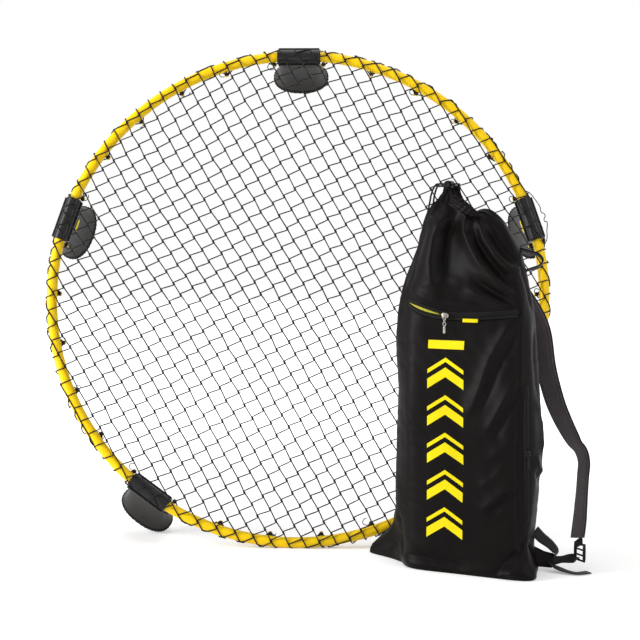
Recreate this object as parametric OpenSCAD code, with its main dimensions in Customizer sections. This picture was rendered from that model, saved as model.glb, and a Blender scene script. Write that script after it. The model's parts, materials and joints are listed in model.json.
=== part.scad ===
// Roundnet set: a round net on a ring of five yellow tubes with five folding
// legs, leaned back on its lower edge, and a black drawstring carry bag
// standing in front of it. Millimetres, +Z up, resting on Z = 0.

/* [Rim] */
// Outside diameter of the ring of tubes
rim_d = 914; // [800:1:1000]
// Outside diameter of one tube
tube_d = 19; // [16:0.5:25]
// Wall of the tube
tube_wall = 2.5; // [1.5:0.1:4]
// How far the ring leans back from upright, degrees
lean = 12.5; // [12.5:0.1:12.5]
// Length of a joining sleeve
sleeve_len = 80; // [60:1:110]
// Outside diameter of a joining sleeve
sleeve_d = 27.6; // [25:0.1:32]

/* [Net] */
// Thickness of the net cord
net_cord_d = 2.1; // [1.5:0.1:3]
// Spacing of the strands that run down to the right
net_pitch_a = 25.3; // [18:0.1:35]
// Spacing of the strands that run up to the right
net_pitch_b = 25.5; // [18:0.1:35]

/* [Legs] */
// Depth from the sleeve's centre line to the sole
leg_len = 132; // [115:1:132]
// Outward swing of the two lower legs, which prop the ring, degrees
prop_swing = 15.6; // [8:0.1:15.6]
// Width of the sole along the rim
sole_w = 105; // [90:1:120]
// How far the legs are folded in, degrees
leg_fold = 0; // [0:1:70]

/* [Bag] */
// Height of the filled bag
bag_h = 642; // [600:1:680]
// Turn of the bag about the upright, degrees
bag_turn = 22; // [15:1:30]
// Thickness of the bag's fabric with its lining
fabric_t = 2; // [1.6:0.1:3]
// Width of a shoulder strap
strap_w = 44; // [35:1:55]

/* [Hidden] */
// Place of the ring's floor contact in the shared frame
shift = [-20.35, -50.41, 0];
rc = rim_d / 2 - tube_d / 2;
rt = tube_d / 2;
// Sleeve axis lies slightly inside the tube's centre line because the tube is curved
sleeve_in = 2.2;
leg_at = [90, 162, 234, 306, 18];
// Outward swing of each leg as the ring stands
leg_swing = [0, 1.5, prop_swing, prop_swing, 4];
hook_at = [-30, -18, -6, 6, 18, 30];
// Clip of a leg round its sleeve
clip_r = sleeve_d / 2 + 0.35;
clip_t = 2.8;
clip_w = 76;
// Bag centre on the floor
bag_at = [298, -143, 0];

function unit(v) = v / norm(v);
function oval(a, b, n, m) = [for (k = [0:m - 1]) let (c = cos(360 * k / m), s = sin(360 * k / m))
  [a * sign(c) * pow(abs(c), 2 / n), b * sign(s) * pow(abs(s), 2 / n)]];
function rest(p, i) = let (n = len(p)) unit(p[min(i + 1, n - 1)] - p[max(i - 1, 0)]);

// Skin over a stack of rings with the same number of points
module skin(rings) {
  n = len(rings);
  m = len(rings[0]);
  polyhedron(points = [for (r = rings) for (p = r) p], faces = concat(
    [[for (j = [0:m - 1]) j]],
    [[for (j = [m - 1:-1:0]) (n - 1) * m + j]],
    [for (i = [0:n - 2]) for (j = [0:m - 1])
      [i * m + j, (i + 1) * m + j, (i + 1) * m + (j + 1) % m]],
    [for (i = [0:n - 2]) for (j = [0:m - 1])
      [i * m + j, (i + 1) * m + (j + 1) % m, i * m + (j + 1) % m]]));
}

// Flat band along points, its broad way given by side vectors
module band(p, side, w, th) {
  skin([for (i = [0:len(p) - 1]) let (
      t = rest(p, i),
      s = unit(side[i] - t * (side[i] * t)),
      n = cross(t, s),
      a = w[i] / 2, b = th / 2, c = th * 0.3)
    [for (q = [[a - c, -b], [a, -b + c], [a, b - c], [a - c, b],
      [-a + c, b], [-a, b - c], [-a, -b + c], [-a + c, -b]]) p[i] + s * q[0] + n * q[1]]]);
}

// Round cord along points
module cord_along(p, d, sides) {
  skin([for (i = [0:len(p) - 1]) let (
      t = rest(p, i),
      s = unit(cross(t, [0.2, 1, 0.1])),
      n = cross(t, s))
    [for (k = [0:sides - 1]) p[i] + (s * cos(360 * k / sides) + n * sin(360 * k / sides)) * d / 2]]);
}

// Ring plane: x right, y up the ring, z out of the front
module on_ring() {
  translate(shift + [0, rc * sin(lean), rt + rc * cos(lean)]) rotate([90 - lean, 0, 0]) children();
}

// Leg frame: x outward, z away from the front, origin on the sleeve's centre line
module at_leg(i) {
  on_ring() rotate([0, 0, leg_at[i - 1]]) translate([rc - sleeve_in, 0, 0])
    rotate([180, 0, 0]) children();
}
module folded(i) at_leg(i) rotate([0, leg_swing[i - 1] - leg_fold, 0]) children();

module rim_tube(i) {
  mid = leg_at[i - 1] + 36;
  color([1, 0.84, 0]) on_ring() rotate([0, 0, mid]) union() {
    difference() {
      rotate([0, 0, -35.9]) rotate_extrude(angle = 71.8, $fn = 120)
        translate([rc, 0]) circle(r = rt, $fn = 24);
      rotate([0, 0, -36.5]) rotate_extrude(angle = 73, $fn = 120)
        translate([rc, 0]) circle(r = rt - tube_wall, $fn = 20);
    }
    for (a = hook_at) rotate([0, 0, a]) translate([rc - rt + 1.3, 0, -4]) rotate([0, -90, 0]) {
      cylinder(h = 8.5, r = 2.3, $fn = 14);
      translate([0, 0, 7.5]) cylinder(h = 1.6, r = 3.3, $fn = 14);
    }
  }
}

module leg_sleeve(i) {
  color([0.13, 0.13, 0.15]) difference() {
    at_leg(i) rotate([90, 0, 0]) cylinder(h = sleeve_len, d = sleeve_d, center = true, $fn = 40);
    on_ring() rotate([0, 0, leg_at[i - 1] - 10]) rotate_extrude(angle = 20, $fn = 120)
      translate([rc, 0]) circle(r = rt + 0.15, $fn = 24);
  }
}

// One family of parallel net strands, cut back clear of the leg clips
module strands(angle, pitch, depth) {
  count = floor((rc - 6) / pitch);
  difference() {
    on_ring() rotate([0, 0, angle]) for (k = [-count:count]) {
      half = sqrt(pow(rc + 3, 2) - pow(k * pitch, 2));
      translate([-half, k * pitch, depth]) rotate([0, 90, 0])
        cylinder(h = 2 * half, d = net_cord_d, $fn = 8);
    }
    for (i = [1:5]) at_leg(i) rotate([90, 0, 0])
      cylinder(h = sleeve_len + 6, r = clip_r + clip_t + 0.6, center = true, $fn = 40);
  }
}
module net_strands_down() color([0.1, 0.1, 0.1]) strands(-59, net_pitch_a, rt + net_cord_d / 2);
module net_strands_up() color([0.1, 0.1, 0.1]) strands(34.6, net_pitch_b, rt + net_cord_d * 1.5 + 0.02);

// Edge cord of the net, held behind the rim by the hooks
module net_edge_cord() {
  color([0.1, 0.1, 0.1]) for (i = [1:5]) on_ring() rotate([0, 0, leg_at[i - 1] + 36 - 30.5])
    rotate_extrude(angle = 61, $fn = 120) translate([rc - 14, -7.5]) circle(d = net_cord_d, $fn = 10);
}

// Leg clip with a true bore; it wraps the back of the sleeve and snaps on
module leg_saddle(i) {
  color([0.24, 0.22, 0.22]) folded(i) difference() {
    union() {
      rotate([90, 0, 0]) cylinder(h = clip_w, r = clip_r + clip_t, center = true, $fn = 48);
      translate([-10, -clip_w / 2, 0]) cube([20, clip_w, 24]);
    }
    rotate([90, 0, 0]) cylinder(h = clip_w + 2, r = clip_r, center = true, $fn = 48);
    translate([-30, -clip_w / 2 - 1, -30]) cube([60, clip_w + 2, 28]);
    for (s = [-1, 1]) translate([0, s * 18, 10]) cylinder(h = 8.5, d = 6, $fn = 20);
  }
}

// Outline of a leg at depth z: half width, inner and outer reach, squareness
function leg_ring(z, hw, lo, hi, sq, m) =
  [for (q = oval((hi - lo) / 2, hw, sq, m)) [q[0] + (hi + lo) / 2, q[1], z]];
module leg_foot(i) {
  s = sole_w / 2;
  e = leg_len - 9;
  color([0.27, 0.25, 0.24]) folded(i) difference() {
    skin([leg_ring(24, 38, -10, 10, 6, 32), leg_ring(45, 38.5, -12, 12, 4.4, 32),
      leg_ring(72, 40.5, -16, 16, 3.6, 32), leg_ring(96, 44.5, -21.5, 21.5, 3.1, 32),
      leg_ring(114, 49, -27, 27, 2.8, 32), leg_ring(e, s - 1.2, -29, 29, 2.7, 32)]);
    skin([leg_ring(48, 35, -8.5, 8.5, 3.6, 32), leg_ring(72, 37, -12.5, 12.5, 3.3, 32),
      leg_ring(96, 41, -18, 18, 3, 32), leg_ring(114, 45.5, -23.5, 23.5, 2.7, 32),
      leg_ring(e + 0.5, s - 4.5, -25.5, 25.5, 2.6, 32)]);
  }
}
// Rubber rim round the open sole
module foot_rim(i) {
  s = sole_w / 2;
  e = leg_len - 9;
  color([0.16, 0.15, 0.15]) folded(i) difference() {
    skin([leg_ring(e, s + 0.1, -30, 30, 2.7, 32), leg_ring(e + 6, s + 0.3, -30.3, 30.3, 2.7, 32),
      leg_ring(e + 9, s - 1.5, -28.5, 28.5, 2.7, 32)]);
    skin([leg_ring(e - 1, s - 6.5, -24, 24, 2.6, 32), leg_ring(e + 10, s - 6.5, -24, 24, 2.6, 32)]);
  }
}

// Bag frame: x along the front face, y to the back, z up
module on_bag() translate(shift + bag_at) rotate([0, 0, -bag_turn]) children();

// Bag outline by height: z, left edge, right edge, half depth, squareness, and how far
// the back left corner and the front right corner are pulled out
bag_rows = [
  [3, -114, 112, 42, 4.5, 150, 28], [12, -117, 113, 45, 4.5, 142, 24], [26, -119, 110, 45.5, 4.3, 118, 12],
  [42, -121, 107, 46, 4.2, 86, 4], [60, -122, 107, 46.5, 4, 50, 0], [80, -123, 109, 47, 4, 18, 0],
  [110, -124, 112, 48, 3.8, 0, 0], [170, -125, 116, 49, 3.6, 0, 0], [235, -125, 116.5, 49, 3.6, 0, 0],
  [310, -124.5, 113.5, 48, 3.6, 0, 0], [395, -123.5, 107.5, 46, 3.6, 0, 0], [440, -121.5, 100, 44, 3.4, 0, 0],
  [475, -116, 93, 41, 3.2, 0, 0], [505, -107.5, 86.5, 37, 3, 0, 0], [535, -99, 78, 32, 2.8, 0, 0],
  [562, -90, 64, 27, 2.6, 0, 0], [582, -83, 51, 23, 2.5, 0, 0], [597, -76, 27, 19, 2.4, 0, 0],
  [607, -70, -6, 15, 2.2, 0, 0]];
// Share of a corner's pull at a point of the outline; sx and sy say which corner
function corner(q, a, b, sx, sy) = pow(max(0, (sx * q[0] / a + sy * q[1] / b) / 2), 3);
function bag_ring(r, g, m) = let (a = (r[2] - r[1]) / 2 + g, b = r[3] + g, cx = (r[1] + r[2]) / 2)
  [for (q = oval(a, b, r[4], m)) let (f = r[5] * corner(q, a, b, -1, 1), h = r[6] * corner(q, a, b, 1, -1))
    [q[0] + cx - f + h, q[1] + f * 0.07 - h * 0.5 + max(0, r[0] - 400) * 0.04, r[0]]];
module bag_loft(g) skin([for (r = bag_rows) bag_ring(r, g, 44)]);

module bag_shell() {
  color([0.14, 0.13, 0.13]) on_bag() difference() {
    bag_loft(0);
    skin(concat([for (r = bag_rows) bag_ring(concat(r[0] == 3 ? 2 : r[0], [for (k = [1:6]) r[k]]),
      -fabric_t, 44)], [bag_ring([608, -69.9, -6.1, 14.8, 2.2, 0, 0], -fabric_t, 44)]));
  }
}
// Stiffened base the bag stands on
module bag_base() {
  color([0.11, 0.1, 0.1]) on_bag() skin([bag_ring([0, -110, 108, 39, 4.5, 140, 26], 0, 44),
    bag_ring([3, -113, 111, 41.5, 4.5, 148, 27], 0, 44)]);
}
// Gathered mouth above the drawstring
module bag_collar() {
  color([0.14, 0.13, 0.13]) on_bag() difference() {
    skin([bag_ring([607, -70, -6, 15, 2.2, 0, 0], 0, 44), bag_ring([613, -66, -14, 12, 2.1, 0, 0], 0, 44),
      bag_ring([619, -60, -20, 10, 2, 0, 0], 0, 44), bag_ring([628, -53, -24, 9.5, 2, 0, 0], 0, 44),
      bag_ring([bag_h - 3, -51, -25, 9, 2, 0, 0], 0, 44)]);
    skin([bag_ring([606, -68, -8, 13, 2.2, 0, 0], 0, 44), bag_ring([613, -62, -18, 9, 2.1, 0, 0], 0, 44),
      bag_ring([619, -55, -25, 5, 2, 0, 0], 0, 44), bag_ring([628, -48, -29, 4.5, 2, 0, 0], 0, 44),
      bag_ring([bag_h, -46, -30, 4, 2, 0, 0], 0, 44)]);
  }
}
// A patch that follows the bag's front between two skins
module front_patch(g0, g1, x0, x1, z0, z1) {
  on_bag() difference() {
    intersection() {
      bag_loft(g1);
      translate([x0, -80, z0]) cube([x1 - x0, 70, z1 - z0]);
    }
    bag_loft(g0);
  }
}
module pocket_panel() color([0.15, 0.14, 0.14]) front_patch(0.05, 2.6, -108, 92, 40, 419);
module front_zip_tape() color([0.08, 0.08, 0.08]) front_patch(0.05, 2.2, -34, 92, 420, 433);
module pocket_lining() color([0.95, 0.85, 0.1]) front_patch(0.05, 1.4, -100, -35, 420, 443);
module side_zip_tape() color([0.08, 0.08, 0.08]) front_patch(0.05, 2.2, 98, 108, 90, 300);
module pocket_tag() color([0.95, 0.8, 0.05]) front_patch(2.7, 3.7, -2, 25, 411, 419);

// Shoulder straps, from the yoke high on the back to the ladder locks near the floor
right_path = [[-2, 37.5, 572], [11, 48, 546], [29, 62, 510], [50, 76, 468], [76, 87, 428], [92, 92, 392],
  [101, 96, 335], [115, 98, 282], [130, 99, 246], [149, 99, 212], [163, 98, 194], [169, 95, 176],
  [169, 90, 155], [169, 82, 125], [169, 70, 84], [168, 60, 54]];
right_side = [[1, 0, 0.3], [1, 0, 0.3], [1, -0.05, 0.3], [1, -0.1, 0.3], [1, -0.25, 0.2], [0.9, -0.35, 0.1],
  [0.88, -0.42, 0], [0.88, -0.45, 0], [0.88, -0.47, 0], [0.86, -0.5, 0], [0.82, -0.56, 0], [0.78, -0.62, 0],
  [0.75, -0.66, 0], [0.75, -0.66, 0], [0.75, -0.66, 0], [0.75, -0.66, 0]];
right_w = [for (i = [0:15]) i > 14 ? strap_w - 6 : strap_w];
left_path = [[-47, 36, 572], [-52, 45, 540], [-58, 58, 490], [-62, 74, 430], [-64, 84, 370], [-65, 88, 310],
  [-66, 90, 250], [-68, 88, 190], [-72, 82, 130], [-76, 76, 85], [-78, 72, 52]];
left_side = [for (i = [0:10]) [1, 0.1, 0.05]];
left_w = [for (i = [0:10]) i > 8 ? strap_w - (i - 8) * 6 : strap_w];
module strap_right() color([0.25, 0.24, 0.25]) on_bag() band(right_path, right_side, right_w, 7);
module strap_left() color([0.25, 0.24, 0.25]) on_bag() band(left_path, left_side, left_w, 7);
// Sewn yoke that joins both straps to the bag's back
module strap_yoke() {
  color([0.12, 0.11, 0.12]) on_bag() difference() {
    translate([-69.5, 10, 558]) cube([91.5, 33, 22]);
    bag_loft(0.05);
  }
}
// Narrow webbing from each ladder lock back to the bag's foot
module webbing_right() {
  color([0.1, 0.1, 0.1]) on_bag() {
    broad = [0.75, -0.66, 0];
    band([[169.5, 58, 52], [172, 54, 46], [173.5, 52.5, 42]], [broad, broad, broad], [22, 22, 22], 2);
    band([[174, 51, 22], [160, 47, 21], [146, 42, 19], [131, 35, 17]],
      [broad, [0, 0, 1], [0, 0, 1], [0.2, 0.3, 1]], [20, 16, 12, 16], 2);
    band([[128, 33, 14], [140, 30, 8], [158, 27, 3.6], [176, 27, 1.8], [191, 44, 1.5]],
      [[-0.3, 0.9, 0], [-0.2, 0.9, 0.1], [0, 1, 0], [-0.5, 0.9, 0], [-0.8, 0.6, 0]], [20, 20, 20, 20, 18], 2);
    band([[114, 32, 64], [124, 39, 44], [135, 42, 31]],
      [[0.5, 0.85, 0.5], [0.5, 0.85, 0.5], [0.5, 0.85, 0.5]], [20, 20, 20], 2);
  }
}
module webbing_left() {
  color([0.1, 0.1, 0.1]) on_bag() {
    band([[-78, 71, 56], [-79, 69, 42], [-80, 68, 32]],
      [[1, 0, 0], [1, 0, 0], [1, 0, 0]], [22, 22, 22], 2);
    band([[-81, 66, 26], [-83, 64, 19], [-85, 61, 15], [-86, 58, 14]],
      [[1, 0, 0], [1, 0, 0], [1, 0, 0], [1, 0, 0]], [22, 22, 22, 22], 2);
    band([[-80, 72, 24], [-77, 82, 12], [-73, 96, 3], [-70, 112, 1.6], [-68, 126, 1.4]],
      [[1, 0, 0], [1, 0, 0], [1, 0, 0], [1, 0, 0], [1, 0, 0]], [22, 22, 22, 22, 22], 2);
  }
}
// Triangular anchor tabs sewn into the bag's lower corners
module anchor_right() {
  color([0.12, 0.11, 0.12]) on_bag() difference() {
    band([[100, 24, 24], [116, 30, 20], [133, 36, 17]],
      [[0, 0.2, 1], [0, 0.2, 1], [0, 0.2, 1]], [36, 27, 24], 3);
    bag_loft(0.05);
  }
}
module anchor_left() {
  color([0.12, 0.11, 0.12]) on_bag() difference() {
    band([[-86, 36, 20], [-86, 50, 16], [-86, 58, 14]],
      [[1, 0, 0], [1, 0, 0], [1, 0, 0]], [40, 30, 24], 3);
    bag_loft(0.05);
  }
}
// Webbing loop high on the right side
module side_loop() {
  color([0.1, 0.1, 0.1]) on_bag() difference() {
    band([[66, 18, 534], [90, 24, 528], [103, 26, 523], [108, 27, 515], [104, 26, 507],
      [90, 24, 502], [74, 18, 497]],
      [for (i = [0:6]) [0.3, -1, 0]], [for (i = [0:6]) 12], 2.4);
    bag_loft(0.05);
  }
}
// Drawstring: out of the collar, through the lock, down the left side and back
lock_at = [-36, -8, 640];
draw_path = [[-26, 2, 637.5], [-22, -3, 638.5], [-21.5, -6.5, 640.8], [-24, -8, 641.8],
  [-56, -8, 641.8], [-62, -7, 640], [-67, -5, 634], [-71.5, -2, 624], [-75, 2, 613], [-79, 8, 603],
  [-83, 15, 594], [-81, 24, 585], [-77, 30, 579], [-72, 32.5, 577], [-71, 30, 583], [-74, 26, 592],
  [-75, 20, 602], [-72.5, 13, 612], [-68.5, 5, 621], [-63.5, -3, 630], [-60, -6.5, 636],
  [-56, -8, 638.2], [-24, -8, 638.2], [-21.5, -5.5, 636.3], [-22, 0, 634], [-26.5, 4, 633.5]];
module drawstring() color([0.09, 0.09, 0.09]) on_bag() cord_along(draw_path, 3.2, 8);

// Cord lock: barrel with a cross hole for both cords and a sprung button
module cord_lock_body() {
  color([0.08, 0.08, 0.08]) on_bag() translate(lock_at) difference() {
    translate([0, 5, 0]) rotate([90, 0, 0]) cylinder(h = 20, d = 15, $fn = 36);
    translate([0, -5, 0]) rotate([90, 0, 0]) cylinder(h = 12, d = 10.8, $fn = 32);
    rotate([0, 90, 0]) cylinder(h = 30, d = 7.6, center = true, $fn = 24);
  }
}
module cord_lock_button() {
  color([0.12, 0.12, 0.12]) on_bag() translate(lock_at + [0, -9.5, 0]) rotate([90, 0, 0])
    cylinder(h = 10.5, d = 10.2, $fn = 32);
}

// Zip sliders stand just clear of their tapes; a puller hangs on each one's pin
front_zip_at = [-30, -47.5, 427];
side_zip_at = [107.7, -37.2, 205];
side_zip_turn = 38.4;
module zip_slider(w, h) {
  translate([-w / 2, -3, -h / 2]) cube([w, 3, h]);
  for (s = [-1, 1]) translate([s * 2.7 - 0.7, -6.6, -2.5]) cube([1.4, 3.8, 3]);
  translate([-3.3, -5.4, -1]) rotate([0, 90, 0]) cylinder(h = 6.6, r = 0.9, $fn = 16);
}
module zip_puller(length) translate([0, -5.4, -1]) difference() {
  union() {
    rotate([0, 90, 0]) cylinder(h = 3.2, r = 2, center = true, $fn = 24);
    translate([-1.5, -0.8, -4]) cube([3, 1.6, 3]);
    translate([-2.6, -0.8, -length]) cube([5.2, 1.6, length - 3]);
  }
  rotate([0, 90, 0]) cylinder(h = 5, r = 1.2, center = true, $fn = 24);
}
module front_slider() color([0.75, 0.75, 0.78]) on_bag() translate(front_zip_at) zip_slider(12, 9);
module front_puller() color([0.75, 0.75, 0.78]) on_bag() translate(front_zip_at) zip_puller(28);
module side_slider() color([0.1, 0.1, 0.1]) on_bag() translate(side_zip_at)
  rotate([0, 0, side_zip_turn]) zip_slider(9, 12);
module side_puller() color([0.1, 0.1, 0.1]) on_bag() translate(side_zip_at)
  rotate([0, 0, side_zip_turn]) zip_puller(24);

// Ladder locks: frame with three bars
module ladder() {
  difference() {
    translate([-14, -3, -15]) cube([28, 6, 30]);
    for (z = [-12, -3, 6]) translate([-11, -4, z]) cube([22, 8, 6]);
  }
}
module ladder_right() {
  color([0.08, 0.08, 0.08]) on_bag() translate([174, 52, 32]) rotate([0, 0, -41]) ladder();
}
module ladder_left() color([0.08, 0.08, 0.08]) on_bag() translate([-80, 66, 30]) ladder();

rim_tube(1);  // rim_tube_1
rim_tube(2);  // rim_tube_2
rim_tube(3);  // rim_tube_3
rim_tube(4);  // rim_tube_4
rim_tube(5);  // rim_tube_5
leg_sleeve(1);  // leg_sleeve_1
leg_sleeve(2);  // leg_sleeve_2
leg_sleeve(3);  // leg_sleeve_3
leg_sleeve(4);  // leg_sleeve_4
leg_sleeve(5);  // leg_sleeve_5
net_strands_down();
net_strands_up();
net_edge_cord();
leg_saddle(1);  // leg_saddle_1
leg_foot(1);  // leg_foot_1
foot_rim(1);  // foot_rim_1
leg_saddle(2);  // leg_saddle_2
leg_foot(2);  // leg_foot_2
foot_rim(2);  // foot_rim_2
leg_saddle(3);  // leg_saddle_3
leg_foot(3);  // leg_foot_3
foot_rim(3);  // foot_rim_3
leg_saddle(4);  // leg_saddle_4
leg_foot(4);  // leg_foot_4
foot_rim(4);  // foot_rim_4
leg_saddle(5);  // leg_saddle_5
leg_foot(5);  // leg_foot_5
foot_rim(5);  // foot_rim_5
bag_shell();
bag_base();
bag_collar();
pocket_panel();
pocket_lining();
front_zip_tape();
side_zip_tape();
pocket_tag();
strap_right();
strap_left();
strap_yoke();
webbing_right();
webbing_left();
anchor_right();
anchor_left();
side_loop();
drawstring();
cord_lock_body();
cord_lock_button();
front_slider();
front_puller();
side_slider();
side_puller();
ladder_right();
ladder_left();
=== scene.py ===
"""Looks of the roundnet set: a net on a ring of tubes with folding legs, and its carry bag in front.

Lengths are in millimetres and turn into metres where a piece is made. The ring and the bag each have
axes of their own, and ring() and bag() turn their places into the shared frame.
"""
import json
import math
import random

import bpy
import numpy as np
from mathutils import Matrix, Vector


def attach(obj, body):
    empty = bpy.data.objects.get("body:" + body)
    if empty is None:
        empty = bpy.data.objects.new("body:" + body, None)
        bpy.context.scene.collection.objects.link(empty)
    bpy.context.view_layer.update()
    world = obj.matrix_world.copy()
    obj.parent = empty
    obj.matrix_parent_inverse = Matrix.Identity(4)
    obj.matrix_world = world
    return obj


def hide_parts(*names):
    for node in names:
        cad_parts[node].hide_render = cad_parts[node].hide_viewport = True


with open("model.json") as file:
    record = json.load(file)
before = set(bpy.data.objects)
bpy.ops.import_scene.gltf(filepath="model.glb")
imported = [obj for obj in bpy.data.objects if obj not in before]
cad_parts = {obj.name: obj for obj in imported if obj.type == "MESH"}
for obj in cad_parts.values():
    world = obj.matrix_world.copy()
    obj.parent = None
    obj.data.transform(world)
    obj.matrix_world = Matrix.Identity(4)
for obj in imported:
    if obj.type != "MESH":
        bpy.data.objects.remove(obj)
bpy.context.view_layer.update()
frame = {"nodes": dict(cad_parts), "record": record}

MM = 0.001
SHIFT = np.array([-20.35, -50.41, 0.0])
UP = np.array([0.0, 0.0, 1.0])
rng = random.Random(7)

# Ring: its tubes, the sleeves that carry the legs, and the pegs (hooks) that hold the net, in degrees
LEAN = math.radians(12.5)
RIM_R, TUBE_R = 447.5, 9.5
SLEEVE_IN, SLEEVE_R = 2.2, 13.8
LEG_AT = [90, 162, 234, 306, 18]
LEG_LEN = 132.0
SPLAY = [0.0, 1.5, 15.6, 15.6, 4.0]
HOOKS = [leg + 36 + step for leg in LEG_AT for step in (-30, -18, -6, 6, 18, 30)]
RING_X = np.array([1.0, 0.0, 0.0])
RING_Y = np.array([0.0, math.sin(LEAN), math.cos(LEAN)])
RING_Z = np.array([0.0, math.cos(LEAN), -math.sin(LEAN)])
RING_AT = np.array([0.0, RIM_R * math.sin(LEAN), TUBE_R + RIM_R * math.cos(LEAN)]) + SHIFT

# Bag
BAG_TURN = math.radians(-22)
BAG_AT = np.array([298.0, -143.0, 0.0]) + SHIFT
BAG_X = np.array([math.cos(BAG_TURN), math.sin(BAG_TURN), 0.0])
BAG_Y = np.array([-math.sin(BAG_TURN), math.cos(BAG_TURN), 0.0])


# ---- camera
CAMERA_AT = np.array([100.5, -2644.3, 608.6]) + SHIFT
CAMERA_DOWN, CAMERA_LEFT = 4.383, 1.237


def add(name, data):
    """Puts an object with this data into the scene."""
    obj = bpy.data.objects.new(name, data)
    bpy.context.scene.collection.objects.link(obj)
    return obj


cam_data = bpy.data.cameras.new("camera")
cam_data.sensor_width = 36
cam_data.lens = 85.0
cam_data.clip_end = 30
camera = add("camera", cam_data)
camera.location = Vector(CAMERA_AT * MM)
camera.rotation_euler = (math.radians(90 - CAMERA_DOWN), 0, math.radians(CAMERA_LEFT))
bpy.context.scene.camera = camera


# ---- helpers
def placer(origin, x_axis, y_axis, z_axis):
    """Function that turns places along three axes into points of the shared frame."""
    def place(x, y, z):
        x, y, z = (np.asarray(v, float)[..., None] for v in (x, y, z))
        return origin + x * x_axis + y * y_axis + z * z_axis
    return place


# The ring's places run right, up the ring and behind it; the bag's run along its front, to its back and up
ring = placer(RING_AT, RING_X, RING_Y, RING_Z)
bag = placer(BAG_AT, BAG_X, BAG_Y, UP)


def ring_polar(radius, degrees, behind):
    angle = math.radians(degrees)
    return ring(radius * math.cos(angle), radius * math.sin(angle), behind)


def bag_placer(at, degrees):
    """Places points of a small part that stands at a point of the bag and is turned."""
    c, s = math.cos(math.radians(degrees)), math.sin(math.radians(degrees))
    return placer(bag(*at), c * BAG_X + s * BAG_Y, c * BAG_Y - s * BAG_X, UP)


def unit(v):
    return v / np.maximum(np.linalg.norm(v, axis=-1, keepdims=True), 1e-9)


def smooth(x, lo, hi):
    """Rises smoothly from 0 at lo to 1 at hi."""
    t = np.clip((np.asarray(x, float) - lo) / (hi - lo), 0, 1)
    return t * t * (3 - 2 * t)


def signed_power(x, power):
    return np.sign(x) * np.abs(x) ** power


def around(count):
    """Angles spaced evenly round a circle."""
    return np.arange(count) * 2 * math.pi / count


def run_along(line):
    """Distance from the start of a line to each of its points."""
    return np.concatenate([[0], np.cumsum(np.linalg.norm(np.diff(line, axis=0), axis=1))])


def columns_at(x, table):
    """Reads the other columns of a table where its first one is x."""
    return [np.interp(x, table[:, 0], column) for column in table[:, 1:].T]


def spline(points, per=6):
    """Catmull-Rom curve through points, with per steps between two of them."""
    p = np.asarray(points, float)
    p = np.vstack([2 * p[0] - p[1], p, 2 * p[-1] - p[-2]])
    out = []
    for a, b, c, d in zip(p, p[1:], p[2:], p[3:]):
        for t in np.arange(per) / per:
            out.append(0.5 * (2 * b + (c - a) * t + (2 * a - 5 * b + 4 * c - d) * t ** 2
                              + (3 * b - a - 3 * c + d) * t ** 3))
    out.append(p[-2])
    return np.array(out)


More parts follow.
